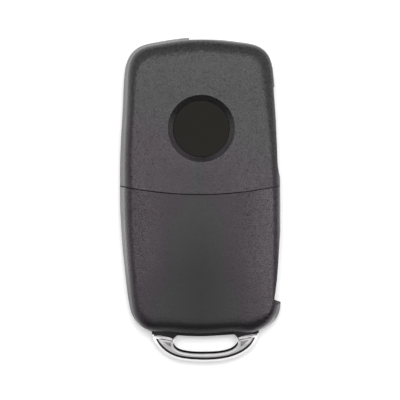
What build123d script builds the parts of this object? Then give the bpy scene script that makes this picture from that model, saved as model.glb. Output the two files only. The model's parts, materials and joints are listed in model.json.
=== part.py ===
from build123d import *

import math
import os

os.makedirs("parts", exist_ok=True)

# Car remote key with a fold-out blade. Millimetres.
# The key lies on its front (button) face: Z = 0 is the front face plane,
# +Z points to the back face, +Y to the end with the blade pivot, +X to the
# side where the folded blade lies.

# ---------------------------------------------------------------- dimensions
CASE_T = 14.6            # front face to back face
PART_Z = CASE_T / 2      # parting plane of front and back shells
WALL = 1.6               # shell wall
ROUND_H = 2.3            # height of the rounding between side wall and face
SEAM_R = 81.0            # seam between head and remote unit, an arc in plan
SEAM_Y = 1.2             # its lowest point, on the axis X = 0
SEAM_GAP = 0.20
SEAM_STEP = 0.70         # the front shells meet this much lower than the back shells
END_WALL = 1.2           # closing walls on both sides of the seam
LEDGE = 0.88             # the back shell stands back this much between the sockets
GROOVE = 0.16            # parting groove width
GROOVE_D = 0.18          # and depth

HUB = (7.0, 25.3)        # blade pivot axis
CARRIER_R = 8.9
CARRIER_Z0, CARRIER_Z1 = 4.6, 10.0
CARRIER_GAP = 0.2
ARM_X0, ARM_X1, ARM_Y = 7.9, 15.9, 10.8
BLADE_X0, BLADE_X1 = 8.4, 15.4
BLADE_Z0, BLADE_Z1 = 6.1, 8.6
BLADE_TIP_Y = -21.6
TANG_Y = 18.3
SLOT_X = 7.9             # inner wall of the blade slot
SLOT_Z0, SLOT_Z1 = 5.6, 9.1
SLOT_END_Y = -22.05
SLOT_WALL = 0.8
JOURNAL_R = 4.30         # pivot journals of the two head shells
BORE_R = 4.35            # bore of the carrier
OPEN_X = -2.3            # where the side opening for the carrier starts

BADGE = (0.40, 15.32)
BADGE_R_OUT, BADGE_R_IN = 7.27, 6.13
BADGE_TOP = CASE_T - 0.80

BUTTON_X = 0.2
BUTTON_YS = {"lock_button": -5.4, "unlock_button": -13.4, "trunk_button": -21.4}
BUTTON_W, BUTTON_H = 11.0, 6.2
BUTTON_GAP = 0.15
RECESS = 0.30            # everything on the front stays this far below Z = 0
PRESS_TRAVEL = 0.5
RELEASE_R = 3.5
RELEASE_TRAVEL = 1.5

PCB_Z0, PCB_Z1 = 4.0, 4.8
CELL = (-3.2, -14.0)
CELL_R = 10.0
CELL_Z0, CELL_Z1 = 9.7, 12.9

# Outline of the case at the parting plane, counter-clockwise.
OUTLINE = [
    (17.66, -2.70), (17.63, 2.66), (17.48, 7.96), (17.18, 13.20), (16.78, 18.53),
    (16.42, 23.87), (15.97, 28.50), (14.92, 31.72), (12.98, 33.50), (9.60, 34.42),
    (4.83, 35.03), (-0.08, 35.36), (-2.40, 35.29), (-4.76, 35.07), (-9.73, 34.27), (-13.20, 33.24),
    (-15.04, 31.60), (-16.16, 28.70), (-16.55, 24.30), (-16.78, 19.02),
    (-17.10, 13.69), (-17.31, 8.47), (-17.36, 3.18), (-17.29, -2.10),
    (-17.02, -7.25), (-16.58, -12.45), (-16.02, -17.75), (-15.36, -22.55),
    (-14.38, -25.72), (-12.50, -27.76), (-9.64, -28.95), (-5.02, -29.57),
    (-0.19, -29.79), (4.99, -29.57), (9.40, -29.22), (11.30, -28.98), (12.98, -28.56),
    (14.32, -27.98), (15.54, -27.13), (16.42, -26.24), (17.03, -25.34), (17.49, -24.20),
    (17.67, -22.40), (17.68, -18.50), (17.70, -13.50), (17.69, -8.00),
]
# Along the outline: how far the wall leans in over half the case, and how wide
# the rounding between wall and face is in plan. (x, y, lean, rounding)
EDGE = [
    (17.66, -2.7, 0.25, 1.62), (17.48, 8.0, 0.25, 1.95), (16.78, 18.5, 0.25, 2.20),
    (16.42, 23.9, 0.25, 2.85), (15.97, 28.5, 0.25, 3.40), (14.9, 31.7, 0.40, 3.35),
    (13.0, 33.5, 0.80, 3.00), (9.6, 34.4, 0.92, 2.80), (4.8, 35.0, 0.95, 2.90),
    (-0.1, 35.3, 1.10, 2.90), (-13.2, 33.2, 1.15, 2.90), (-15.0, 31.6, 1.22, 2.65),
    (-16.2, 28.7, 1.18, 2.05), (-16.55, 24.3, 1.22, 1.60), (-17.1, 13.7, 1.28, 1.50),
    (-17.35, 4.0, 1.45, 1.58), (-17.29, -2.1, 1.42, 1.55), (-17.02, -7.25, 1.32, 1.55),
    (-16.6, -12.45, 1.18, 1.45), (-16.0, -17.75, 1.00, 1.48), (-15.4, -22.5, 0.92, 1.55),
    (-14.4, -25.7, 0.70, 2.15), (-12.5, -27.8, 0.45, 3.25), (-9.6, -28.95, 0.20, 3.35),
    (-5.0, -29.5, 0.05, 3.15), (5.0, -29.5, 0.05, 3.05), (9.4, -29.2, 0.20, 3.25),
    (13.0, -28.6, 0.60, 3.30), (14.35, -27.95, 0.85, 2.70), (16.34, -26.2, 1.00, 1.65),
    (17.36, -24.2, 1.00, 1.20), (17.6, -22.0, 0.70, 1.35), (17.67, -18.0, 0.32, 1.60),
    (17.69, -10.0, 0.25, 1.68),
]


# ------------------------------------------------------------------- helpers
def box(x0, x1, y0, y1, z0, z1):
    return Pos((x0 + x1) / 2, (y0 + y1) / 2, (z0 + z1) / 2) * Box(
        x1 - x0, y1 - y0, z1 - z0
    )


def cyl(x, y, r, z0, z1):
    return Pos(x, y, (z0 + z1) / 2) * Cylinder(r, z1 - z0)


def cone(x, y, r0, r1, z0, z1):
    return Pos(x, y, (z0 + z1) / 2) * Cone(r0, r1, z1 - z0)


def ring(x, y, r_out, r_in, z0, z1):
    return cyl(x, y, r_out, z0, z1) - cyl(x, y, r_in, z0 - 1, z1 + 1)


def poly(points, z0, z1):
    return extrude(
        Pos(0, 0, z0) * make_face(Polyline(*points, close=True)), amount=z1 - z0
    )


def slab(x0, x1, y0, y1, z0, z1, r):
    """A plate with rounded vertical corners."""
    return Pos((x0 + x1) / 2, (y0 + y1) / 2, z0) * extrude(
        RectangleRounded(x1 - x0, y1 - y0, r), amount=z1 - z0
    )


def one(shape, name):
    """The largest solid of a boolean result."""
    found = sorted(shape.solids(), key=lambda s: -s.volume)
    for extra in found[1:]:
        print("note:", name, "drops a crumb of", round(extra.volume, 4), "mm3")
    return found[0]


base_edge = Spline(*OUTLINE, periodic=True)
SAMPLES = 72


def sample(share):
    p = base_edge.position_at(share)
    t = base_edge.tangent_at(share)
    return (p.X, p.Y, t.Y, -t.X)


def station(x, y):
    """Share of the outline's length at the point nearest to x, y."""
    return min(range(720), key=lambda i: (fine[i][0] - x) ** 2 + (fine[i][1] - y) ** 2) / 720


def edge_at(share):
    """Lean and rounding between the two nearest stations."""
    for (s0, a0, b0), (s1, a1, b1) in zip(stations, stations[1:]):
        if s0 <= share <= s1:
            k = (share - s0) / (s1 - s0)
            return a0 + (a1 - a0) * k, b0 + (b1 - b0) * k


fine = [sample(i / 720) for i in range(720)]
stations = sorted((station(x, y), lean, rounding) for x, y, lean, rounding in EDGE)
stations = [(stations[-1][0] - 1, *stations[-1][1:])] + stations + [(stations[0][0] + 1, *stations[0][1:])]
base_samples = []
for i in range(SAMPLES):
    near = [edge_at((i + d / 3) / SAMPLES % 1.0) for d in (-2, -1, 0, 1, 2)]
    base_samples.append((*sample(i / SAMPLES), sum(a for a, b in near) / 5, sum(b for a, b in near) / 5))


def section(z, inset=0.0, at=None, turn=0.0, ledge=0.0):
    """Plan section of the case at height z, moved in by inset, drawn at height at.
    turn is the share of the edge rounding's width that is also taken off, ledge
    what is taken off between the sockets alone."""
    share = abs(z - PART_Z) / (CASE_T - PART_Z)
    pts = []
    for x, y, nx, ny, lean, rounding in base_samples:
        d = lean * share + rounding * turn + inset
        k = min(max((11.8 - abs(x)) / 5.0, 0.0), 1.0) if ny < -0.7 else 0.0
        d += ledge * k * k * (3 - 2 * k)
        pts.append((x - nx * d, y - ny * d))
    return Pos(0, 0, z if at is None else at) * make_face(Spline(*pts, periodic=True))


def prism(z_in, z_out, inset):
    """Tapered block between two heights that follows the side walls."""
    return loft([section(z_in, inset), section(z_out, inset)], ruled=True)


def mirrored(shape):
    return mirror(shape, about=Plane.XY.offset(PART_Z))


# ------------------------------------------------------------------ envelope
round_z = CASE_T - ROUND_H


def envelope(ledge):
    shoulder = [
        section(
            round_z + ROUND_H * math.sin(math.radians(a)),
            turn=1 - math.cos(math.radians(a)), ledge=ledge,
        )
        for a in (0, 15, 30, 45, 60, 75, 90)
    ]
    wall = loft([section(PART_Z, ledge=ledge), section(round_z, ledge=ledge)], ruled=True)
    return wall + loft(shoulder)


upper = envelope(0.0)
upper_ledge = envelope(LEDGE)

# Grip recess in the right side, beside the blade's tip. It ends in a notch, and
# the corner below it is left standing as a small lug.
GRIP = [
    (17.85, -1.2), (17.63, -4.2), (17.51, -6.3), (17.30, -8.9), (17.13, -11.5), (16.96, -14.1),
    (16.74, -16.75), (16.44, -19.4), (16.12, -21.4),
]
grip_cut = Pos(0, 0, -1) * extrude(
    make_face(Spline(*GRIP) + Polyline(GRIP[-1], (16.42, -21.79), (16.62, -22.03), (17.08, -22.23), (19.5, -22.40), (19.5, -1.2), GRIP[0])),
    amount=CASE_T + 2,
)

# Sockets for the two arms of the key-ring loop.
SOCKET_Z0, SOCKET_Z1 = 4.4, 10.2
SOCKET_SLOPE = (-28.8, 10.6, 38)      # their roof falls toward the loop: y, z, degrees
SOCKET_L = [(-10.30, -27.5), (-10.30, -29.22), (-5.60, -30.12), (-4.75, -29.40), (-4.75, -27.5)]
SOCKET_R = [(7.55, -27.5), (7.55, -29.20), (8.20, -29.88), (12.85, -28.98), (12.85, -27.5)]


def above(x, y, z, tilt_x):
    """The half-space above a plane through a point that falls toward -Y."""
    return Pos(x, y, z) * Rot(tilt_x, 0, 0) * Box(80, 60, 12, align=(Align.CENTER, Align.CENTER, Align.MIN))


sockets = poly(SOCKET_L, PART_Z, 11.4) + poly(SOCKET_R, PART_Z, 11.4)
sockets -= above(0, *SOCKET_SLOPE)


def seam_disc(r, front):
    y = SEAM_Y + SEAM_R - (SEAM_STEP if front else 0.0)
    return cyl(0.0, y, r, -5, CASE_T + 5)


# Setbacks of the head's wall where the carrier and the blade swing out: a small
# step on the top edge and a shallow scallop on the right side.
TOP_STEP = [
    (OPEN_X, 34.62), (0.1, 34.65), (2.3, 34.67), (4.47, 34.64), (6.65, 34.52),
    (8.83, 34.31), (11.4, 34.03),
]
step_cut = Pos(0, 0, -1) * extrude(
    make_face(Spline(*TOP_STEP) + Polyline(TOP_STEP[-1], (12.5, 36.5), (OPEN_X + 0.35, 36.5), TOP_STEP[0])),
    amount=CASE_T + 2,
)
SCALLOP = [
    (17.80, 4.20), (17.48, 4.75), (17.12, 6.05), (16.93, 7.2), (16.83, 8.64), (16.74, 11.26),
    (16.62, 13.88), (16.52, 16.49), (16.37, 19.11), (16.17, 21.72), (16.04, 23.47), (15.98, 24.30),
]
scallop_cut = Pos(0, 0, -1) * extrude(
    make_face(Spline(*SCALLOP) + Polyline(SCALLOP[-1], (16.7, 24.75), (19.5, 24.75), (19.5, 4.2), SCALLOP[0])),
    amount=CASE_T + 2,
)

groove = extrude(section(PART_Z, -1.0, at=PART_Z - GROOVE / 2), amount=GROOVE) - extrude(
    section(PART_Z, GROOVE_D, at=PART_Z - 1), amount=2
)


def halves(front):
    """Head and remote half shells as solid blocks, with their cavities."""
    head = one((upper & seam_disc(SEAM_R, front)) - step_cut - scallop_cut, "head half")
    remote = upper if front else upper_ledge
    remote = one(remote - seam_disc(SEAM_R + SEAM_GAP, front) - grip_cut + sockets, "remote half")
    head_hollow = one(cavity & seam_disc(SEAM_R - END_WALL, front), "head cavity")
    remote_hollow = one(cavity - seam_disc(SEAM_R + SEAM_GAP + END_WALL, front), "remote cavity")
    return head, remote, head_hollow, remote_hollow


# ------------------------------------------------------------------ cavities
cavity = prism(PART_Z, CASE_T - WALL, WALL)
head_half, remote_half, head_cavity, remote_cavity = halves(front=False)
head_half_f, remote_half_f, head_cavity_f, remote_cavity_f = halves(front=True)

# Space in which the carrier turns, and the slot for the blade.
turning_space = (
    box(ARM_X0 - 0.4, 40, ARM_Y - 0.3, HUB[1], CARRIER_Z0 - CARRIER_GAP, CARRIER_Z1 + CARRIER_GAP)
    + box(OPEN_X, 40, HUB[1], 60, CARRIER_Z0 - CARRIER_GAP, CARRIER_Z1 + CARRIER_GAP)
    + cyl(HUB[0], HUB[1], CARRIER_R + 0.25, CARRIER_Z0 - CARRIER_GAP, CARRIER_Z1 + CARRIER_GAP)
)
slot = box(SLOT_X, 40, SLOT_END_Y, ARM_Y, SLOT_Z0, SLOT_Z1)

# Solid plates around the slot, kept out of the cavities.
head_keep = box(SLOT_X - SLOT_WALL, 40, -5, ARM_Y - 0.3, PART_Z, SLOT_Z1 + 1.0)
remote_keep = box(SLOT_X - SLOT_WALL, 40, -40, 10, PART_Z, SLOT_Z1 + 1.0) + box(14.8, 40, -26, -15, PART_Z, CASE_T)

# A lip of the head above the slot, in a pocket of the remote: no light gets in
# through the seam there.
LIP_Z = SLOT_Z1 + 1.3


def lip(c):
    return (
        box(SLOT_X - SLOT_WALL - c, 20, -2, 6, SLOT_Z1 - c, LIP_Z + c)
        & extrude(section(LIP_Z, 0.9 - c, at=SLOT_Z1 - 1), amount=4)
        & seam_disc(SEAM_R + c, True)
    )


# Chamber wall and support ribs around the carrier, on the cavity ceiling.
chamber = (
    ring(HUB[0], HUB[1], CARRIER_R + 1.05, CARRIER_R + 0.25, PART_Z, CASE_T - 1)
    - box(HUB[0], 40, -10, 60, 0, 20)
    - box(OPEN_X - 0.8, 40, HUB[1], 60, 0, 20)
    + box(ARM_X0 - 1.2, ARM_X0 - 0.4, ARM_Y - 0.5, HUB[1] - CARRIER_R - 0.2, PART_Z, CASE_T - 1)
    + box(OPEN_X - 0.8, OPEN_X, HUB[1] - 1.0, 36, PART_Z, CASE_T - 1)
)
ribs = ring(HUB[0], HUB[1], 6.4, 5.6, CARRIER_Z1 + CARRIER_GAP, CASE_T - 1) + ring(
    HUB[0], HUB[1], 8.5, 7.7, CARRIER_Z1 + CARRIER_GAP, CASE_T - 1
)
inside = one(cavity, "cavity")

screw_x, screw_y = BADGE

# ---------------------------------------------------------- head, back shell
head_back = head_half - (head_cavity - head_keep)
head_back += (chamber + ribs) & inside
head_back += cyl(HUB[0], HUB[1], JOURNAL_R, 8.4, CASE_T - 1)
head_back += cyl(BADGE[0], BADGE[1], BADGE_R_IN + 1.3, 11.4, CASE_T - 1)
head_back += cyl(screw_x, screw_y, 2.5, PART_Z, CASE_T - 1)
head_back -= cyl(HUB[0], HUB[1], JOURNAL_R - 0.8, 0, CASE_T - WALL)
head_back -= cone(BADGE[0], BADGE[1], BADGE_R_IN, BADGE_R_OUT, BADGE_TOP, CASE_T)
head_back -= cyl(BADGE[0], BADGE[1], BADGE_R_IN, CASE_T - 1.6, BADGE_TOP + 0.01)
head_back -= cyl(screw_x, screw_y, 1.95, 11.95, CASE_T)
head_back -= cyl(screw_x, screw_y, 1.15, 0, CASE_T)
head_back += lip(0.0) - seam_disc(SEAM_R - END_WALL, False)
head_back -= turning_space
head_back -= slot
head_back -= groove
head_back = one(head_back, "head_back_shell")

# --------------------------------------------------------- head, front shell
head_front = mirrored(head_half_f - (head_cavity_f - head_keep))
head_front += mirrored((chamber + ribs) & inside)
head_front += cyl(HUB[0], HUB[1], JOURNAL_R, 1.0, 6.0)
head_front += cyl(screw_x, screw_y, 2.5, 1.0, PART_Z)
head_front -= cyl(screw_x, screw_y, 1.0, 2.8, CASE_T)
head_front -= cyl(HUB[0], HUB[1], RELEASE_R + 0.08, -1, CASE_T)
head_front -= cone(HUB[0], HUB[1], RELEASE_R + 0.9, RELEASE_R + 0.08, 0, 0.6)
head_front -= turning_space
head_front -= slot
head_front -= groove
# Frame for the transponder block.
CHIP = (-13.6, -7.6, 9.0, 21.0)
frame = box(CHIP[0] - 0.9, CHIP[1] + 0.9, CHIP[2] - 0.9, CHIP[3] + 0.9, 1.0, 3.2) - box(
    CHIP[0] - 0.1, CHIP[1] + 0.1, CHIP[2] - 0.1, CHIP[3] + 0.1, 0.5, 4
)
head_front += frame & mirrored(inside)
# Tongue that carries the remote unit, with a catch window.
TONGUE = (-12.0, 5.0, -8.5, 5.3, 7.0)
tongue = slab(TONGUE[0], TONGUE[1], TONGUE[2], 4.0, TONGUE[3], TONGUE[4], 1.2)
tongue -= slab(-6.0, -1.0, -6.6, -4.0, 0, 10, 0.6)
# It leaves the end wall under the curved seam.
head_front += tongue - box(-20, 20, 2.2, 10, 0, 20)
head_front = one(head_front, "head_front_shell")

# -------------------------------------------------------- remote, back shell
arm_blocks = box(-11.0, -4.4, -29.0, -26.6, PART_Z, SOCKET_Z1) + box(
    7.0, 13.2, -28.6, -26.6, PART_Z, SOCKET_Z1
)
# Necks and heads of the loop, in pockets of both shells.
NECKS = [(-9.2, -6.4), (9.0, 11.8)]
NECK_Z0, NECK_Z1 = 5.9, 8.7


def necks(c):
    made = None
    for x0, x1 in NECKS:
        neck = box(x0 - c, x1 + c, -31.0, -27.2, NECK_Z0 - c, NECK_Z1 + c)
        foot = box(x0 - 0.9 - c, x1 + 0.9 + c, -28.2 - c, -27.2 + c, NECK_Z0 - c, NECK_Z1 + c)
        made = neck + foot if made is None else made + neck + foot
    return made


remote_back = remote_half - (remote_cavity - remote_keep)
remote_back += arm_blocks & inside
cradle = ring(CELL[0], CELL[1], CELL_R + 0.9, CELL_R + 0.1, 9.2, CASE_T - 1) - box(-9.0, 3.0, -26, -18, 0, 20)
remote_back += cradle & remote_cavity
remote_back -= lip(SEAM_GAP)
remote_back -= slot
remote_back -= necks(0.05)
remote_back -= groove
remote_back = one(remote_back, "remote_back_shell")

# ------------------------------------------------------- remote, front shell
remote_front = mirrored(remote_half_f - (remote_cavity_f - remote_keep))
remote_front += mirrored(arm_blocks & inside)
# Board supports: a rail beside the slot and two posts.
remote_front += box(6.35, 7.2, -24.5, -1.2, 1.0, PCB_Z0)
remote_front += cyl(-12.3, -3.2, 1.0, 1.0, PCB_Z0) + cyl(-11.4, -20.5, 1.0, 1.0, PCB_Z0)
remote_front -= box(TONGUE[0] - 0.3, TONGUE[1] + 0.3, -3.0, 5, TONGUE[3] - 0.3, PART_Z + 1)
remote_front -= slot
remote_front -= necks(0.05)
remote_front -= groove
LED = (-10.6, -7.2)
for y in BUTTON_YS.values():
    remote_front -= slab(
        BUTTON_X - BUTTON_W / 2 - BUTTON_GAP, BUTTON_X + BUTTON_W / 2 + BUTTON_GAP,
        y - BUTTON_H / 2 - BUTTON_GAP, y + BUTTON_H / 2 + BUTTON_GAP, -1, WALL + 0.2, 1.6 + BUTTON_GAP,
    )
remote_front -= cyl(LED[0], LED[1], 1.0, -1, WALL + 0.2)
remote_front = one(remote_front, "remote_front_shell")

# --------------------------------------------------------------- small parts
badge_disc = cyl(BADGE[0], BADGE[1], BADGE_R_IN - 0.03, CASE_T - 1.6, BADGE_TOP)
badge_disc = one(chamfer(badge_disc.faces().sort_by(Axis.Z)[-1].edges(), 0.08), "badge_disc")

head_screw = cyl(screw_x, screw_y, 1.85, 11.95, 12.9) + cyl(screw_x, screw_y, 0.98, 3.2, 12.0)
head_screw -= box(screw_x - 1.1, screw_x + 1.1, screw_y - 0.2, screw_y + 0.2, 12.3, 13.5)
head_screw -= box(screw_x - 0.2, screw_x + 0.2, screw_y - 1.1, screw_y + 1.1, 12.3, 13.5)
head_screw = one(head_screw, "head_screw")

transponder_chip = slab(CHIP[0], CHIP[1], CHIP[2], CHIP[3], WALL, WALL + 3.0, 0.8)
transponder_chip = one(transponder_chip, "transponder_chip")

# Carrier: hub disc and neck, with the socket for the blade's tang.
carrier = cyl(HUB[0], HUB[1], CARRIER_R, CARRIER_Z0, CARRIER_Z1)
neck_face = make_face(
    Polyline(
        (ARM_X0, HUB[1]), (ARM_X0, ARM_Y + 1.2), (ARM_X0 + 0.6, ARM_Y), (ARM_X1 - 0.6, ARM_Y),
        (ARM_X1, ARM_Y + 1.2), (ARM_X1, HUB[1]), close=True,
    )
)
carrier += extrude(Pos(0, 0, CARRIER_Z0) * neck_face, amount=CARRIER_Z1 - CARRIER_Z0)
carrier = one(carrier, "carrier blank")
rim = [
    e for e in carrier.edges()
    if abs(e.center().Z - CARRIER_Z0) < 1e-3 or abs(e.center().Z - CARRIER_Z1) < 1e-3
]
carrier = fillet(rim, 0.7)
carrier -= cyl(HUB[0], HUB[1], BORE_R, 0, 20)
carrier -= box(BLADE_X0 - 0.02, BLADE_X1 + 0.02, 0, TANG_Y + 0.05, BLADE_Z0 - 0.02, BLADE_Z1 + 0.02)
PIN = (11.9, 14.6, 0.75)
carrier -= cyl(PIN[0], PIN[1], PIN[2] + 0.01, 0, 20)
blade_carrier = one(carrier, "blade_carrier")

blade_pin = one(cyl(PIN[0], PIN[1], PIN[2], CARRIER_Z0 + 0.1, CARRIER_Z1 - 0.1), "blade_pin")

# Blade: flat bar with a bevelled tip and a winding track milled in both faces.
blade = poly(
    [
        (BLADE_X0, TANG_Y), (BLADE_X0, BLADE_TIP_Y + 2.4), (BLADE_X0 + 2.2, BLADE_TIP_Y),
        (BLADE_X1 - 2.2, BLADE_TIP_Y), (BLADE_X1, BLADE_TIP_Y + 2.4), (BLADE_X1, TANG_Y),
    ],
    BLADE_Z0, BLADE_Z1,
)
mid_x = (BLADE_X0 + BLADE_X1) / 2
TRACK_W, TRACK_D = 2.3, 0.65
track_y = [BLADE_TIP_Y - 1.0, -19.2, -15.6, -12.2, -8.8, -5.4, -2.2, 1.0, 3.6]
track_dx = [0.0, 0.0, 0.7, -0.6, 0.5, -0.8, 0.6, -0.3, 0.0]
left = [(mid_x + d - TRACK_W / 2, y) for y, d in zip(track_y, track_dx)]
right = [(mid_x + d + TRACK_W / 2, y) for y, d in zip(track_y, track_dx)]
track_face = make_face(
    Spline(*left) + Line(left[-1], right[-1]) + Spline(*right[::-1]) + Line(right[0], left[0])
)
blade -= extrude(Pos(0, 0, BLADE_Z1 - TRACK_D) * track_face, amount=5)
blade -= extrude(Pos(0, 0, BLADE_Z0 - 5 + TRACK_D) * track_face, amount=5)
blade -= cyl(PIN[0], PIN[1], PIN[2] + 0.01, 0, 20)
# Bevelled tip.
for top in (True, False):
    z_edge = BLADE_Z1 if top else BLADE_Z0
    s = 1 if top else -1
    wedge = Plane.YZ.offset(BLADE_X0 - 1) * make_face(
        Polyline(
            (BLADE_TIP_Y - 0.5, z_edge - s * 1.0), (BLADE_TIP_Y + 1.6, z_edge + s * 0.05),
            (BLADE_TIP_Y - 0.5, z_edge + s * 0.5), close=True,
        )
    )
    blade -= extrude(wedge, amount=BLADE_X1 - BLADE_X0 + 2)
key_blade = one(blade, "key_blade")

# Release button: a stem in the front journal with a flange that holds it in.
release = cyl(HUB[0], HUB[1], RELEASE_R, RECESS, 6.1) + cyl(HUB[0], HUB[1], 3.9, 6.05, 6.8)
release -= Pos(HUB[0], HUB[1], RECESS - 17.2) * Sphere(17.5)
front_edge = [e for e in release.edges() if e.center().Z < 1.0 and abs(e.bounding_box().size.X - 2 * RELEASE_R) < 0.05]
release = fillet(front_edge, 0.25)
release_button = one(release, "release_button")

# Coil spring in the hub, between the button and the back shell.
SPRING_R, SPRING_WIRE = 2.75, 0.35
SPRING_Z0, SPRING_Z1 = 6.8, CASE_T - WALL
coil_path = Helix(
    pitch=(SPRING_Z1 - SPRING_Z0 - 2 * SPRING_WIRE) / 4.0,
    height=SPRING_Z1 - SPRING_Z0 - 2 * SPRING_WIRE,
    radius=SPRING_R,
    center=(HUB[0], HUB[1], SPRING_Z0 + SPRING_WIRE),
)
coil_plane = Plane(origin=coil_path @ 0, z_dir=coil_path % 0)
coil = sweep(coil_plane * Circle(SPRING_WIRE), path=coil_path, is_frenet=True)
flip_spring = one(coil, "flip_spring")

# --------------------------------------------------------------- loop
LOOP_Z1 = 9.3            # its upper face, at the case
LOOP_FALL = 7.0          # that face falls toward the free end, degrees
LOOP_EDGE = (1.00, LOOP_Z1 - PART_Z)      # half axes of its elliptical outer edge
LOOP_IN_R = 0.80
LOOP_Y = -29.4
LOOP_OUT = [
    (-10.28, -29.33), (-9.87, -30.75), (-9.05, -32.0), (-8.07, -33.0), (-6.87, -33.85),
    (-5.21, -34.59), (-3.6, -34.98), (-1.3, -35.22), (1.25, -35.30), (3.8, -35.18),
    (7.0, -34.60), (9.6, -33.50), (11.3, -32.2), (12.22, -30.98), (12.88, -29.07),
]
LOOP_IN = [
    (8.00, -29.96), (8.15, -30.95), (7.75, -31.60), (6.95, -32.20), (5.80, -32.62),
    (3.60, -32.97), (1.25, -33.06), (-1.60, -33.00), (-3.20, -32.78), (-4.45, -32.40),
    (-5.15, -31.90), (-5.55, -31.20), (-5.40, -30.20),
]
loop_edge = Spline(*LOOP_OUT)
loop_samples = []
for i in range(25):
    p, t = loop_edge.position_at(i / 24), loop_edge.tangent_at(i / 24)
    loop_samples.append((p.X, p.Y, t.Y, -t.X))


def loop_section(turn):
    """Outline of the loop, at an angle up its elliptical edge; the sections tip
    over with height."""
    c, s = math.cos(math.radians(turn)), math.sin(math.radians(turn))
    fall = math.tan(math.radians(LOOP_FALL * s))
    flat = [(x - nx * LOOP_EDGE[0] * (1 - c), y - ny * LOOP_EDGE[0] * (1 - c)) for x, y, nx, ny in loop_samples]
    (ax, ay), (bx, by) = flat[0], flat[-1]

    def lift(pts):
        return [(x, y, PART_Z + LOOP_EDGE[1] * s + (y - LOOP_Y) * fall) for x, y in pts]

    return make_face(Spline(*lift(flat)) + Polyline(*lift([(bx, by), (bx, -27.0), (ax, -27.0), (ax, ay)])))


loop = loft([loop_section(a) for a in (0, 15, 30, 45, 60, 75, 90)])
# The opening for the key ring.
opening = extrude(
    make_face(Spline(*LOOP_IN) + Polyline(LOOP_IN[-1], (LOOP_IN[-1][0], -26), (LOOP_IN[0][0], -26), LOOP_IN[0])),
    amount=20,
)
loop -= opening
# The arms end at the sockets.
for cut in ([(-12.25, -28.95), (-4.68, -30.40), (-4.68, -26), (-12.25, -26)], [(7.30, -30.15), (14.80, -28.70), (14.80, -26), (7.30, -26)]):
    loop -= poly(cut, 0, 20)
loop = one(loop, "loop half")
# Its inner edge is rounded.
inner = []
for e in loop.edges():
    b = e.bounding_box()
    if 10 < b.size.X < 20 and b.min.Z > 8:
        inner.append(e)
loop = one(fillet(inner, LOOP_IN_R), "loop half")
# Sunk triangles where the arms widen, and a raised rib along the sockets.
ARM_TRIANGLES = [
    [(-8.10, -30.78), (-6.20, -31.10), (-6.25, -32.10)],
    [(8.90, -30.78), (10.85, -30.44), (8.95, -32.10)],
]
RIBS = [[(-9.95, -29.43), (-5.85, -30.21)], [(8.50, -29.96), (12.55, -29.17)]]
for points in ARM_TRIANGLES:
    dip = poly(points, LOOP_Z1 - 1, LOOP_Z1 + 1) & above(0, points[0][1], LOOP_Z1 - 0.26, 10)
    loop = one(loop - dip, "loop half")
for (ax, ay), (bx, by) in RIBS:
    length = math.hypot(bx - ax, by - ay)
    tx, ty = (bx - ax) / length, (by - ay) / length
    across = Plane(origin=(ax, ay, 0), x_dir=(-ty, tx, 0), z_dir=(tx, ty, 0))
    crest = make_face(Polyline(
        (0.0, 8.0), (0.0, LOOP_Z1 + 0.10), (-0.42, LOOP_Z1 + 0.18), (-0.62, LOOP_Z1 - 0.10),
        (-0.62, 8.0), close=True,
    ))
    loop = one(loop + extrude(across * crest, amount=length), "loop half")
loop = one(loop + mirrored(loop), "loop")
loop += necks(0.0) & box(-20, 20, -31.0, -20, 0, 20)
keyring_loop = one(loop, "keyring_loop")

# --------------------------------------------------------------- electronics
board = box(-20, 6.95, -25.8, -1.3, PCB_Z0, PCB_Z1) & extrude(
    section(PCB_Z0, WALL + 0.25, at=PCB_Z0 - 1), amount=3
)
circuit_board = one(board, "circuit_board")

switches = {}
caps = {}
for name, y in BUTTON_YS.items():
    dome = cone(BUTTON_X, y, 1.3, 2.2, PCB_Z0 - 0.4, PCB_Z0)
    switches[name.replace("button", "switch")] = one(dome, name)
    cap = slab(
        BUTTON_X - BUTTON_W / 2, BUTTON_X + BUTTON_W / 2, y - BUTTON_H / 2, y + BUTTON_H / 2,
        RECESS, WALL + 0.15, 1.6,
    )
    cap = fillet(cap.faces().sort_by(Axis.Z)[0].edges(), 0.35)
    cap += slab(
        BUTTON_X - BUTTON_W / 2 - 0.5, BUTTON_X + BUTTON_W / 2 + 0.5,
        y - BUTTON_H / 2 - 0.5, y + BUTTON_H / 2 + 0.5, WALL + 0.1, WALL + 0.7, 1.8,
    )
    cap += cyl(BUTTON_X, y, 1.2, WALL + 0.6, 3.0)
    caps[name] = one(cap, name)

seal = slab(-8.0, 6.25, -25.2, -1.5, 3.0, PCB_Z0, 1.5)
for y in BUTTON_YS.values():
    seal -= cyl(BUTTON_X, y, 2.5, 2, 5)
keypad_seal = one(seal, "keypad_seal")

status_led = one(box(LED[0] - 0.8, LED[0] + 0.8, LED[1] - 0.5, LED[1] + 0.5, PCB_Z0 - 0.8, PCB_Z0), "status_led")
window = cyl(LED[0], LED[1], 0.97, RECESS, WALL) + cyl(LED[0], LED[1], 1.6, WALL, WALL + 0.6)
led_window = one(window, "led_window")

radio_chip = one(box(-6.0, 0.0, -17.5, -11.5, PCB_Z1, PCB_Z1 + 1.0), "radio_chip")
quartz_crystal = one(slab(2.2, 5.4, -15.2, -12.7, PCB_Z1, PCB_Z1 + 0.9, 0.4), "quartz_crystal")
coil_core = slab(-12.0, -9.0, -19.0, -9.6, PCB_Z1, PCB_Z1 + 2.2, 0.4)
coil_core -= box(-12.4, -11.6, -17.4, -11.2, 0, 20) + box(-9.4, -8.6, -17.4, -11.2, 0, 20)
antenna_coil = one(coil_core, "antenna_coil")

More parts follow.
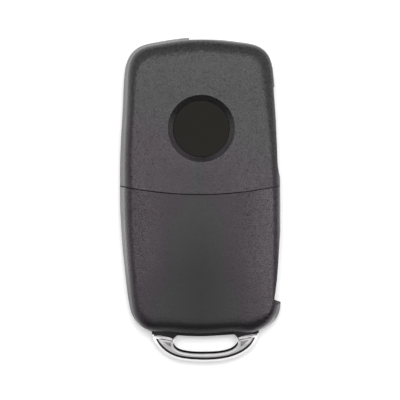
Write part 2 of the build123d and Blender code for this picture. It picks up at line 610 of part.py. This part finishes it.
coin = cyl(CELL[0], CELL[1], CELL_R - 1.1, CELL_Z0, CELL_Z0 + 0.4) + cyl(
    CELL[0], CELL[1], CELL_R, CELL_Z0 + 0.35, CELL_Z1
)
coin = fillet([e for e in coin.edges() if abs(e.center().Z - CELL_Z1) < 1e-3], 0.3)
coin_cell = one(coin, "coin_cell")

minus = (
    box(-1.0, 3.0, -22.8, -20.8, PCB_Z1, PCB_Z1 + 0.3)
    + box(-1.0, 3.0, -21.1, -20.8, PCB_Z1, CELL_Z0)
    + box(-1.0, 3.0, -21.1, -17.8, CELL_Z0 - 0.3, CELL_Z0)
)
cell_contact_minus = one(minus, "cell_contact_minus")
plus = (
    box(-5.2, -1.2, -25.6, -24.0, PCB_Z1, PCB_Z1 + 0.3)
    + box(-5.2, -1.2, -24.3, -24.0, PCB_Z1, 12.2)
)
cell_contact_plus = one(plus, "cell_contact_plus")

# -------------------------------------------------------------------- export
nodes = {
    "head_back_shell": head_back,
    "head_front_shell": head_front,
    "badge_disc": badge_disc,
    "head_screw": head_screw,
    "transponder_chip": transponder_chip,
    "blade_carrier": blade_carrier,
    "key_blade": key_blade,
    "blade_pin": blade_pin,
    "flip_spring": flip_spring,
    "release_button": release_button,
    "remote_back_shell": remote_back,
    "remote_front_shell": remote_front,
    "keyring_loop": keyring_loop,
    "circuit_board": circuit_board,
    "keypad_seal": keypad_seal,
    "status_led": status_led,
    "led_window": led_window,
    "radio_chip": radio_chip,
    "quartz_crystal": quartz_crystal,
    "antenna_coil": antenna_coil,
    "coin_cell": coin_cell,
    "cell_contact_plus": cell_contact_plus,
    "cell_contact_minus": cell_contact_minus,
}
nodes.update(switches)
nodes.update(caps)
for name, shape in nodes.items():
    export_step(shape, f"parts/{name}.step")
print(len(nodes), "nodes")
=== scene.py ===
import json
import math

import bmesh
import bpy
from mathutils import Matrix, Vector


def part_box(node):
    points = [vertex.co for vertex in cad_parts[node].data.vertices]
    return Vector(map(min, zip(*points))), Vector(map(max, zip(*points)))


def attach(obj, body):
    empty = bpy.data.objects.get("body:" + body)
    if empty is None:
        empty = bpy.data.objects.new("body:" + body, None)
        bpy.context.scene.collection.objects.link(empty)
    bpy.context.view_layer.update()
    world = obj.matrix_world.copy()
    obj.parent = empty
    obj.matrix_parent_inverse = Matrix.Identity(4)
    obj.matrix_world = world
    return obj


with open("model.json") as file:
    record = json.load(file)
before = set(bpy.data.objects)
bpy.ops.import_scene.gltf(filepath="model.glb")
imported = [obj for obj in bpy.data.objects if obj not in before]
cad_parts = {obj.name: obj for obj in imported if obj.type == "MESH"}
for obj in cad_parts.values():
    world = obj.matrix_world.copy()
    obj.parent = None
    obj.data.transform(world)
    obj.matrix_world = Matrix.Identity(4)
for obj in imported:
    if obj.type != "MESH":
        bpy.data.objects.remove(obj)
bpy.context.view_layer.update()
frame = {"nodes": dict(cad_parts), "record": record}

MM = 0.001
WARM = (1.07, 0.84, 1.04)
# Added roughness of the case by place, fitted to the photograph's brightness and
# not measured on a real one: whole lower unit, its loop end, its middle,
# the head's middle above the seam, its right edge, left to right, then the head's
# wall, the lower unit's wall and the lug.
WEAR_UNIT, WEAR_END, WEAR_MID, WEAR_HEAD, WEAR_EDGE, WEAR_TILT = 0.005, 0.13, 0.26, 0.10, -0.12, 0.004
WEAR_WALL, WEAR_SIDE, WEAR_LUG = 0.12, 0.09, 0.13
FLOOR_GLOW, SOFTBOX, KEY = 0.215, 4.3, 36.0
SOFTBOX_PLATING = 0.36
BADGE = (0.40 * MM, 15.32 * MM)
BEVEL_ROUGH = -0.05
GRAIN_HEAD = 0.74
nodes = frame["nodes"]


# ------------------------------------------------------------------ materials
def new_material(name):
    m = bpy.data.materials.new(name)
    m.use_nodes = True
    t = m.node_tree
    t.nodes.clear()
    out = t.nodes.new("ShaderNodeOutputMaterial")
    p = t.nodes.new("ShaderNodeBsdfPrincipled")
    t.links.new(p.outputs["BSDF"], out.inputs["Surface"])
    coord = t.nodes.new("ShaderNodeTexCoord")
    return m, t, p, coord.outputs["Object"]


def set_inputs(p, **values):
    for key, v in values.items():
        p.inputs[key.replace("_", " ")].default_value = v


def noise(t, vec, per_mm, detail=2.0, rough=0.5, stretch=None):
    """Noise with about per_mm features in a millimetre."""
    src = vec
    if stretch is not None:
        mapping = t.nodes.new("ShaderNodeMapping")
        mapping.inputs["Scale"].default_value = stretch
        t.links.new(vec, mapping.inputs["Vector"])
        src = mapping.outputs["Vector"]
    n = t.nodes.new("ShaderNodeTexNoise")
    n.inputs["Scale"].default_value = per_mm * 1000
    n.inputs["Detail"].default_value = detail
    n.inputs["Roughness"].default_value = rough
    t.links.new(src, n.inputs["Vector"])
    return n.outputs["Fac"]


def spread(t, value, lo, hi, out_lo, out_hi):
    r = t.nodes.new("ShaderNodeMapRange")
    r.inputs["From Min"].default_value = lo
    r.inputs["From Max"].default_value = hi
    r.inputs["To Min"].default_value = out_lo
    r.inputs["To Max"].default_value = out_hi
    t.links.new(value, r.inputs["Value"])
    return r.outputs["Result"]


def mix_colour(t, factor, a, b):
    n = t.nodes.new("ShaderNodeMix")
    n.data_type = "RGBA"
    n.inputs[6].default_value = (*a, 1)
    n.inputs[7].default_value = (*b, 1)
    t.links.new(factor, n.inputs[0])
    return n.outputs[2]


def add(t, a, b, wa=1.0, wb=1.0):
    ma = t.nodes.new("ShaderNodeMath")
    ma.operation = "MULTIPLY"
    ma.inputs[1].default_value = wa
    t.links.new(a, ma.inputs[0])
    mb = t.nodes.new("ShaderNodeMath")
    mb.operation = "MULTIPLY_ADD"
    mb.inputs[1].default_value = wb
    t.links.new(b, mb.inputs[0])
    t.links.new(ma.outputs[0], mb.inputs[2])
    return mb.outputs[0]


def bump(t, p, height, distance_mm, strength=1.0):
    b = t.nodes.new("ShaderNodeBump")
    b.inputs["Distance"].default_value = distance_mm * MM
    b.inputs["Strength"].default_value = strength
    t.links.new(height, b.inputs["Height"])
    t.links.new(b.outputs["Normal"], p.inputs["Normal"])


def value_math(t, op, a, b=None):
    n = t.nodes.new("ShaderNodeMath")
    n.operation = op
    for i, v in enumerate((a, b)):
        if v is None:
            continue
        if isinstance(v, (int, float)):
            n.inputs[i].default_value = v
        else:
            t.links.new(v, n.inputs[i])
    return n.outputs[0]


def ease(t, value, start, end, kind="SMOOTHSTEP"):
    """0 at start, 1 at end."""
    r = spread(t, value, start, end, 0.0, 1.0)
    r.node.interpolation_type = kind
    return r


def wear_and_painted_shade(t, vec):
    """Masks by place on the case, fitted to the photograph: added roughness read as wear, the lower unit, its right
    edge and its middle, how warm the plastic looks, the smooth bevel round the badge, and how much darker the rounding
    at the loop end is. The darkening of the middle, the bevel and the rounding is painted shade."""
    sep = t.nodes.new("ShaderNodeSeparateXYZ")
    t.links.new(vec, sep.inputs[0])
    x, y, z = sep.outputs["X"], sep.outputs["Y"], sep.outputs["Z"]
    seam = value_math(t, "SUBTRACT", y, value_math(t, "MULTIPLY", value_math(t, "MULTIPLY", x, x), 1 / 0.162))
    unit = ease(t, seam, 0.00118, 0.00102)
    middle = value_math(t, "MINIMUM", ease(t, x, -0.0132, 0.0004, "LINEAR"), ease(t, x, 0.0108, 0.0004, "LINEAR"))
    lower = value_math(t, "MULTIPLY", middle, unit)
    head = value_math(t, "MULTIPLY", middle, value_math(t, "SUBTRACT", ease(t, y, 0.0115, 0.0045), unit))
    edge = value_math(t, "MULTIPLY", ease(t, x, 0.0095, 0.0148, "LINEAR"), unit)
    wear = add(t, unit, ease(t, y, -0.008, -0.027), WEAR_UNIT, WEAR_END)
    round_mid = value_math(t, "SUBTRACT", 1.0, value_math(t, "POWER", value_math(t, "SUBTRACT", 1.0, middle), 2.3))
    round_mid = value_math(t, "MULTIPLY", round_mid, spread(t, ease(t, y, 0.000, -0.012), 0.0, 1.0, 0.80, 1.0))
    round_mid = value_math(t, "MULTIPLY", round_mid, spread(t, ease(t, y, -0.014, -0.025), 0.0, 1.0, 1.0, 0.68))
    wear = add(t, wear, value_math(t, "MULTIPLY", round_mid, unit), 1.0, WEAR_MID)
    wear = add(t, wear, value_math(t, "MAXIMUM", head, 0.0), 1.0, WEAR_HEAD)
    wear = add(t, wear, edge, 1.0, WEAR_EDGE)
    near_left = value_math(t, "MULTIPLY", value_math(t, "MULTIPLY", ease(t, x, -0.0060, -0.0115), unit), ease(t, y, -0.0200, -0.0150))
    wear = add(t, wear, near_left, 1.0, -0.05)
    wear = add(t, wear, x, 1.0, -WEAR_TILT / 0.014)
    crown = value_math(t, "MULTIPLY", ease(t, y, 0.0225, 0.0285), ease(t, z, 0.0132, 0.0142))
    wear = add(t, wear, crown, 1.0, -0.045)
    wall = ease(t, value_math(t, "ABSOLUTE", value_math(t, "SUBTRACT", z, 0.0073)), 0.0053, 0.0046)
    wall = value_math(t, "MULTIPLY", wall, spread(t, unit, 0.0, 1.0, WEAR_WALL, WEAR_SIDE))
    wear = value_math(t, "ADD", wear, wall)
    # The rounding at the loop end, fitted in the same way.
    end = value_math(t, "SUBTRACT", y, value_math(t, "MULTIPLY", value_math(t, "MULTIPLY", x, x), 1 / 0.240))
    wear = value_math(t, "MULTIPLY", wear, spread(t, ease(t, end, -0.0272, -0.0258), 0.0, 1.0, 0.45, 1.0))
    centred = ease(t, value_math(t, "ABSOLUTE", x), 0.0120, 0.0070)
    wear = value_math(t, "ADD", wear, value_math(t, "MULTIPLY", ease(t, end, -0.0274, -0.0288), spread(t, centred, 0.0, 1.0, -0.06, 0.24)))
    # Painted shade: the base colour of the rounding at the loop end is drawn down to half.
    shade = spread(t, ease(t, end, -0.0276, -0.0262), 0.0, 1.0, 0.50, 1.0)
    # The lug below the grip, and its upper lip.
    lug = value_math(t, "MULTIPLY", ease(t, x, 0.0160, 0.0166), ease(t, y, -0.0218, -0.0221))
    wear = add(t, wear, lug, 1.0, WEAR_LUG)
    wear = value_math(t, "ADD", wear, value_math(t, "MULTIPLY", value_math(t, "MULTIPLY", lug, ease(t, y, -0.0228, -0.0225)), 0.25))
    # The middle is neutral, and widens toward the loop; the far end is too.
    half = add(t, ease(t, y, 0.002, -0.006), ease(t, y, -0.0160, -0.0235), 0.0050, 0.0034)
    off = value_math(t, "SUBTRACT", value_math(t, "ABSOLUTE", value_math(t, "ADD", x, 0.0005)), half)
    warm = value_math(t, "MULTIPLY", ease(t, off, -0.0003, 0.0022), ease(t, add(t, y, x, 1.0, 0.35), 0.0175, 0.0100))
    dx, dy = value_math(t, "SUBTRACT", x, BADGE[0]), value_math(t, "SUBTRACT", y, BADGE[1])
    r = value_math(t, "SQRT", value_math(t, "ADD", value_math(t, "MULTIPLY", dx, dx), value_math(t, "MULTIPLY", dy, dy)))
    bevel = value_math(t, "MULTIPLY", ease(t, r, 0.00735, 0.00722), ease(t, z, 0.0130, 0.0135))
    return wear, unit, edge, lower, warm, bevel, shade


def grained_plastic(name, dark, light, per_mm=1.9, depth=0.11, rough=(0.24, 0.32), specular=0.5, worn_and_shaded=False):
    m, t, p, vec = new_material(name)
    fine = noise(t, vec, per_mm, 3.0, 0.65)
    speck = noise(t, vec, per_mm * 2.4, 2.0, 0.5)
    cloud = noise(t, vec, 0.10, 2.0)
    tone = add(t, spread(t, fine, 0.30, 0.70, 0, 1), spread(t, speck, 0.35, 0.65, 0, 1), 0.6, 0.4)
    roughness = spread(t, fine, 0.3, 0.7, *rough)
    set_inputs(p, Specular_IOR_Level=specular)
    grain = t.nodes.new("ShaderNodeBump")
    grain.inputs["Distance"].default_value = depth * MM
    t.links.new(add(t, fine, speck, 0.7, 0.3), grain.inputs["Height"])
    warm = spread(t, cloud, 0.42, 0.58, 0, 0.6)
    if worn_and_shaded:
        wear, unit, edge, lower, sides, bevel, shade = wear_and_painted_shade(t, vec)
        wear = add(t, wear, bevel, 1.0, BEVEL_ROUGH)
        roughness = value_math(t, "ADD", roughness, wear)
        warm = add(t, warm, sides, 0.25, 0.75)
        # Painted shade: the base colour is darkened in the middle of the lower unit.
        tone = add(t, value_math(t, "MULTIPLY", tone, spread(t, lower, 0.0, 1.0, 1.0, 0.12)), lower, 1.0, 0.15)
        # Painted shade: the base colour of the recessed bevel round the badge is darkened.
        tone = value_math(t, "MULTIPLY", tone, spread(t, bevel, 0.0, 1.0, 1.0, 0.70))
        # Painted shade on the rounding at the loop end.
        tone = value_math(t, "MULTIPLY", tone, shade)
        rub = value_math(t, "MULTIPLY", spread(t, lower, 0.0, 0.9, 1.0, 0.10), spread(t, bevel, 0.0, 1.0, 1.0, 0.15))
        rub = value_math(t, "MULTIPLY", rub, spread(t, unit, 0.0, 1.0, GRAIN_HEAD, 1.0))
        rub = value_math(t, "MULTIPLY", rub, spread(t, edge, 0.0, 1.0, 1.0, 0.74))
        # The grain fades out over the rounded edges.
        geo = t.nodes.new("ShaderNodeNewGeometry")
        slope = t.nodes.new("ShaderNodeSeparateXYZ")
        t.links.new(geo.outputs["Normal"], slope.inputs[0])
        level = ease(t, value_math(t, "ABSOLUTE", slope.outputs["Z"]), 0.93, 0.99)
        rub = value_math(t, "MULTIPLY", rub, spread(t, level, 0.0, 1.0, 0.68, 1.0))
        t.links.new(rub, grain.inputs["Strength"])
        t.links.new(mix_colour(t, warm, (1, 1, 1), (1.0, 0.89, 0.985)), p.inputs["Specular Tint"])
    plain = mix_colour(t, tone, dark, light)
    tinted = mix_colour(t, tone, [c * k for c, k in zip(dark, WARM)], [c * k for c, k in zip(light, WARM)])
    both = t.nodes.new("ShaderNodeMix")
    both.data_type = "RGBA"
    t.links.new(warm, both.inputs[0])
    t.links.new(plain, both.inputs[6])
    t.links.new(tinted, both.inputs[7])
    t.links.new(both.outputs[2], p.inputs["Base Color"])
    t.links.new(roughness, p.inputs["Roughness"])
    t.links.new(grain.outputs["Normal"], p.inputs["Normal"])
    return m


def smooth_plastic(name, dark, light, rough, coat=0.0, per_mm=0.8, specular=0.5):
    m, t, p, vec = new_material(name)
    n = noise(t, vec, per_mm, 3.0)
    t.links.new(mix_colour(t, spread(t, n, 0.3, 0.7, 0, 1), dark, light), p.inputs["Base Color"])
    t.links.new(spread(t, n, 0.3, 0.7, *rough), p.inputs["Roughness"])
    set_inputs(p, Specular_IOR_Level=specular)
    if coat:
        set_inputs(p, Coat_Weight=coat, Coat_Roughness=0.06)
    bump(t, p, noise(t, vec, 2.5, 2.0), 0.002)
    return m


def metal(name, dark, light, rough, per_mm=1.5, stretch=None, depth=0.002, anisotropic=0.0):
    m, t, p, vec = new_material(name)
    n = noise(t, vec, per_mm, 4.0, 0.55, stretch)
    t.links.new(mix_colour(t, spread(t, n, 0.3, 0.7, 0, 1), dark, light), p.inputs["Base Color"])
    t.links.new(spread(t, n, 0.3, 0.7, *rough), p.inputs["Roughness"])
    set_inputs(p, Metallic=1.0, Anisotropic=anisotropic)
    bump(t, p, n, depth)
    return m


case_plastic = grained_plastic("case_plastic", (0.004, 0.004, 0.004), (0.034, 0.034, 0.034), depth=0.22, worn_and_shaded=True)
badge_black = smooth_plastic("badge_black", (0.0055, 0.0048, 0.0028), (0.0070, 0.0062, 0.0040), (0.22, 0.28), specular=0.051)
button_plastic = grained_plastic(
    "button_plastic", (0.016, 0.016, 0.017), (0.024, 0.024, 0.025), per_mm=5.0, depth=0.006, rough=(0.36, 0.42))
plated = metal("plated", (0.655, 0.640, 0.650), (0.735, 0.720, 0.730), (0.05, 0.10), per_mm=0.8, depth=0.001)
# Painted highlight: the plating's colour is made paler where the loop enters the case, fitted to the bright strips
# there.
pt = plated.node_tree
pp = next(n for n in pt.nodes if n.type == "BSDF_PRINCIPLED")
psep = pt.nodes.new("ShaderNodeSeparateXYZ")
pt.links.new(next(n for n in pt.nodes if n.type == "TEX_COORD").outputs["Object"], psep.inputs[0])
painted_highlight = pt.nodes.new("ShaderNodeMix")
painted_highlight.data_type = "RGBA"
painted_highlight.blend_type = "MULTIPLY"
painted_highlight.inputs[0].default_value = 1.0
pt.links.new(pp.inputs["Base Color"].links[0].from_socket, painted_highlight.inputs[6])
pt.links.new(mix_colour(pt, ease(pt, psep.outputs["Y"], -0.0316, -0.0310), (1, 1, 1), (1.3, 1.3, 1.3)), painted_highlight.inputs[7])
pt.links.new(painted_highlight.outputs[2], pp.inputs["Base Color"])
carrier_metal = metal("carrier_metal", (0.37, 0.365, 0.355), (0.44, 0.435, 0.425), (0.20, 0.27), per_mm=2.6, depth=0.0015)
blade_steel = metal("blade_steel", (0.42, 0.415, 0.405), (0.56, 0.555, 0.54), (0.16, 0.28), per_mm=3.5, stretch=(1, 0.04, 1), depth=0.0015, anisotropic=0.4)
screw_steel = metal("screw_steel", (0.48, 0.48, 0.49), (0.62, 0.62, 0.63), (0.22, 0.34))
spring_steel = metal("spring_steel", (0.34, 0.34, 0.35), (0.46, 0.46, 0.47), (0.22, 0.32))
dome_metal = metal("dome_metal", (0.62, 0.62, 0.61), (0.74, 0.74, 0.73), (0.18, 0.28))
cell_metal = metal("cell_metal", (0.60, 0.60, 0.59), (0.74, 0.74, 0.73), (0.20, 0.32), stretch=(0.08, 1, 1))
contact_brass = metal("contact_brass", (0.62, 0.50, 0.26), (0.76, 0.63, 0.36), (0.20, 0.30))
epoxy_black = smooth_plastic("epoxy_black", (0.018, 0.018, 0.019), (0.028, 0.028, 0.029), (0.38, 0.5))
board_green = smooth_plastic("board_green", (0.012, 0.085, 0.035), (0.020, 0.125, 0.052), (0.25, 0.35), per_mm=0.5)
seal_rubber = smooth_plastic("seal_rubber", (0.020, 0.020, 0.020), (0.032, 0.032, 0.032), (0.7, 0.82))
ferrite = smooth_plastic("ferrite", (0.035, 0.030, 0.026), (0.060, 0.052, 0.045), (0.6, 0.75))
led_red = smooth_plastic("led_red", (0.42, 0.03, 0.02), (0.55, 0.05, 0.03), (0.12, 0.18))
window_red = smooth_plastic("window_red", (0.10, 0.008, 0.006), (0.16, 0.012, 0.009), (0.10, 0.16), coat=0.5)

BY_SLOT = {
    "case_plastic": case_plastic, "badge_black": badge_black, "button_plastic": button_plastic,
    "plated": plated, "carrier_metal": carrier_metal, "blade_steel": blade_steel,
    "screw_steel": screw_steel, "spring_steel": spring_steel, "dome_metal": dome_metal,
    "cell_metal": cell_metal, "contact_brass": contact_brass, "epoxy_black": epoxy_black,
    "board_green": board_green, "seal_rubber": seal_rubber, "ferrite": ferrite,
    "led_red": led_red, "window_red": window_red,
}
slot_of = {s["node"]: s["material_slot"] for s in frame["record"]["subparts"]}
for name, o in nodes.items():
    m = BY_SLOT[slot_of[name]]
    if not o.data.materials:
        o.data.materials.append(m)
    for i in range(len(o.data.materials)):
        o.data.materials[i] = m

# ---------------------------------------------------- printed button symbols
# Thin raised prints on the front faces of the buttons, drawn as plan outlines in
# millimetres about the button's middle. They face down (the front of the key).
def band(points, width, closed=False):
    """Left and right edge of a line of even width, as a list of quads."""
    n = len(points)
    sides = []
    for i, (x, y) in enumerate(points):
        a = points[i - 1] if (closed or i > 0) else points[i]
        b = points[(i + 1) % n] if (closed or i < n - 1) else points[i]
        pa = Vector((x - a[0], y - a[1]))
        pb = Vector((b[0] - x, b[1] - y))
        da = pa.normalized() if pa.length > 0 else pb.normalized()
        db = pb.normalized() if pb.length > 0 else da
        t = (da + db).normalized()
        k = width / 2 / max(t.dot(da), 0.5)
        nrm = Vector((-t.y, t.x)) * k
        sides.append(((x + nrm.x, y + nrm.y), (x - nrm.x, y - nrm.y)))
    quads = []
    for i in range(n if closed else n - 1):
        (l0, r0), (l1, r1) = sides[i], sides[(i + 1) % n]
        quads.append([l0, r0, r1, l1])
    return quads


def arc(cx, cy, rx, ry, a0, a1, steps=14):
    return [
        (cx + rx * math.cos(math.radians(a0 + (a1 - a0) * i / steps)),
         cy + ry * math.sin(math.radians(a0 + (a1 - a0) * i / steps)))
        for i in range(steps + 1)
    ]


def rounded(x0, x1, y0, y1, r):
    return (
        arc(x1 - r, y1 - r, r, r, 0, 90, 4) + arc(x0 + r, y1 - r, r, r, 90, 180, 4)
        + arc(x0 + r, y0 + r, r, r, 180, 270, 4) + arc(x1 - r, y0 + r, r, r, 270, 360, 4)
    )


PADLOCK = [("fill", rounded(-1.25, 1.25, -1.5, 0.35, 0.25))]
SYMBOLS = {
    "lock_button": PADLOCK + [("line", [(-0.78, 0.3)] + arc(0, 0.75, 0.78, 0.85, 180, 0) + [(0.78, 0.3)], 0.30)],
    "unlock_button": PADLOCK + [("line", [(-0.78, 0.3)] + arc(-1.56, 0.95, 0.78, 0.85, 0, 180) + [(-2.34, 0.75)], 0.30)],
    "trunk_button": [
        ("line", [(-2.6, -0.9), (-2.6, -0.1), (-1.5, 0.1), (-0.7, 0.75), (0.8, 0.75), (1.5, 0.2)], 0.28),
        ("line", [(1.5, 0.2), (2.75, 1.35)], 0.28),
        ("line", [(1.7, 0.05), (2.55, -0.05), (2.65, -0.9)], 0.28),
        ("line", arc(-1.45, -0.9, 0.5, 0.5, 180, 0, 10), 0.24),
        ("line", arc(1.45, -0.9, 0.5, 0.5, 180, 0, 10), 0.24),
        ("line", [(-2.6, -0.9), (-1.95, -0.9)], 0.28),
        ("line", [(-0.95, -0.9), (0.95, -0.9)], 0.28),
        ("line", [(1.95, -0.9), (2.65, -0.9)], 0.28),
    ],
}
BODY_OF = {"lock_button": "lock", "unlock_button": "unlock", "trunk_button": "trunk"}
print_white = smooth_plastic("print_white", (0.60, 0.61, 0.61), (0.72, 0.73, 0.73), (0.42, 0.55), per_mm=3.0)
for name, parts in SYMBOLS.items():
    low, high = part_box(name)
    cx, cy, z = (low[0] + high[0]) / 2, (low[1] + high[1]) / 2, low[2]
    bm = bmesh.new()
    for kind, pts, *width in parts:
        for face in ([pts] if kind == "fill" else band(pts, width[0])):
            below = [bm.verts.new((cx + x * MM, cy + y * MM, z - 0.03 * MM)) for x, y in face]
            over = [bm.verts.new((cx + x * MM, cy + y * MM, z + 0.05 * MM)) for x, y in face]
            bm.faces.new(below)
            bm.faces.new(over[::-1])
            for i in range(len(face)):
                j = (i + 1) % len(face)
                bm.faces.new((below[i], over[i], over[j], below[j]))
    bmesh.ops.recalc_face_normals(bm, faces=bm.faces)
    mesh = bpy.data.meshes.new(name + "_symbol")
    bm.to_mesh(mesh)
    bm.free()
    symbol = bpy.data.objects.new(name + "_symbol", mesh)
    bpy.context.scene.collection.objects.link(symbol)
    mesh.materials.append(print_white)
    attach(symbol, BODY_OF[name])

# --------------------------------------------------------------- floor, lights
floor_mesh = bpy.data.meshes.new("floor")
bm = bmesh.new()
bmesh.ops.create_circle(bm, cap_ends=True, segments=96, radius=3.0)
bm.to_mesh(floor_mesh)
bm.free()
floor = bpy.data.objects.new("floor", floor_mesh)
floor.location.z = -0.02 * MM
bpy.context.scene.collection.objects.link(floor)
fm, ft, fp, fvec = new_material("floor_white")
fn = noise(ft, fvec, 0.02, 2.0)
ft.links.new(mix_colour(ft, fn, (0.90, 0.90, 0.90), (0.92, 0.92, 0.92)), fp.inputs["Base Color"])
set_inputs(fp, Roughness=0.9, Specular_IOR_Level=0.1)
# Far from the key the floor stays as pale as near it.
reach = ft.nodes.new("ShaderNodeVectorMath")
reach.operation = "LENGTH"
ft.links.new(fvec, reach.inputs[0])
far = ease(ft, reach.outputs["Value"], 0.15, 1.1)
ft.links.new(spread(ft, far, 0.0, 1.0, FLOOR_GLOW, 0.80), fp.inputs["Emission Strength"])
fp.inputs["Emission Color"].default_value = (1, 1, 1, 1)
floor_mesh.materials.append(fm)

world = bpy.data.worlds.new("studio")
bpy.context.scene.world = world
world.use_nodes = True
wt = world.node_tree
bg = wt.nodes["Background"]
wcoord = wt.nodes.new("ShaderNodeTexCoord")
wsep = wt.nodes.new("ShaderNodeSeparateXYZ")
wt.links.new(wcoord.outputs["Generated"], wsep.inputs[0])


def grey_ramp(tree, source, lo, hi, stops):
    """Grey levels along a coordinate between lo and hi."""
    place = spread(tree, source, lo, hi, 0.0, 1.0)
    ramp = tree.nodes.new("ShaderNodeValToRGB")
    ramp.color_ramp.interpolation = "EASE"
    els = ramp.color_ramp.elements
    pts = [((at - lo) / (hi - lo), c) for at, c in stops]
    els[0].position, els[0].color = pts[0][0], (pts[0][1],) * 3 + (1,)
    els[1].position, els[1].color = pts[-1][0], (pts[-1][1],) * 3 + (1,)
    for at, c in pts[1:-1]:
        e = els.new(at)
        e.color = (c, c, c, 1)
    tree.links.new(place, ramp.inputs["Fac"])
    return ramp.outputs["Color"]


# Round the horizon: dark behind the key-ring end, pale at the sides.
around = grey_ramp(wt, wsep.outputs["Y"], -1.0, 1.0, [(-1.0, 0.03), (-0.5, 0.05), (-0.2, 0.55), (0.0, 0.78), (0.5, 0.60), (0.8, 0.70), (0.93, 0.32), (1.0, 0.20)])
overhead = grey_ramp(wt, wsep.outputs["Z"], 0.0, 1.0, [(0.0, 0.0), (0.90, 0.0), (0.985, 1.0), (1.0, 1.0)])
both = wt.nodes.new("ShaderNodeMix")
both.data_type = "RGBA"
wt.links.new(overhead, both.inputs[0])
wt.links.new(around, both.inputs[6])
both.inputs[7].default_value = (0.80, 0.80, 0.80, 1)
# Seen directly, the room is plain and pale.
path = wt.nodes.new("ShaderNodeLightPath")
seen = wt.nodes.new("ShaderNodeMix")
seen.data_type = "RGBA"
wt.links.new(path.outputs["Is Camera Ray"], seen.inputs[0])
wt.links.new(both.outputs[2], seen.inputs[6])
seen.inputs[7].default_value = (0.93, 0.93, 0.93, 1)
wt.links.new(seen.outputs[2], bg.inputs["Color"])
bg.inputs["Strength"].default_value = 1.0


def area(name, shape, x0, x1, y0, y1, z, radiance):
    """A level soft box facing down, with its radiance set."""
    d = bpy.data.lights.new(name, "AREA")
    d.shape = shape
    d.size, d.size_y = x1 - x0, y1 - y0
    d.energy = radiance * math.pi * (x1 - x0) * (y1 - y0) * (math.pi / 4 if shape == "ELLIPSE" else 1)
    o = bpy.data.objects.new(name, d)
    bpy.context.scene.collection.objects.link(o)
    o.location = ((x0 + x1) / 2, (y0 + y1) / 2, z)
    o.visible_camera = False
    return o


softbox = area("softbox", "RECTANGLE", -0.13, 0.15, -0.12, 0.15, 0.62, SOFTBOX)
# The same box, dimmed, lights the plated loop, whose crest would burn out.
dimmed = area("softbox_plating", "RECTANGLE", -0.13, 0.15, -0.12, 0.15, 0.62, SOFTBOX_PLATING)
for lamp, state in ((softbox, "EXCLUDE"), (dimmed, "INCLUDE")):
    lit = bpy.data.collections.new(lamp.name + "_lit")
    lit.objects.link(nodes["keyring_loop"])
    lamp.light_linking.receiver_collection = lit
    lit.collection_objects[0].light_linking.link_state = state
# A smaller one toward the far end casts the shadows. Its own reflection is kept
# off the gloss.
key = area("key", "ELLIPSE", -0.062, 0.082, -0.007, 0.137, 0.62, KEY)
key.visible_glossy = False

# -------------------------------------------------------------------- camera
DISTANCE = 0.60
FIELD = 400 * 0.218 * MM
cam_data = bpy.data.cameras.new("camera")
cam_data.sensor_fit = "HORIZONTAL"
cam_data.sensor_width = 36.0
cam_data.lens = 36.0 * DISTANCE / FIELD
cam_data.clip_start, cam_data.clip_end = 0.01, 10.0
cam = bpy.data.objects.new("camera", cam_data)
bpy.context.scene.collection.objects.link(cam)
cam.location = (0.5 * 0.218 * MM, -0.35 * 0.218 * MM, DISTANCE + 7.3 * MM)
cam.rotation_euler = (0, 0, 0)
bpy.context.scene.camera = cam

bpy.context.scene.view_settings.view_transform = "Standard"
bpy.context.scene.view_settings.look = "None"
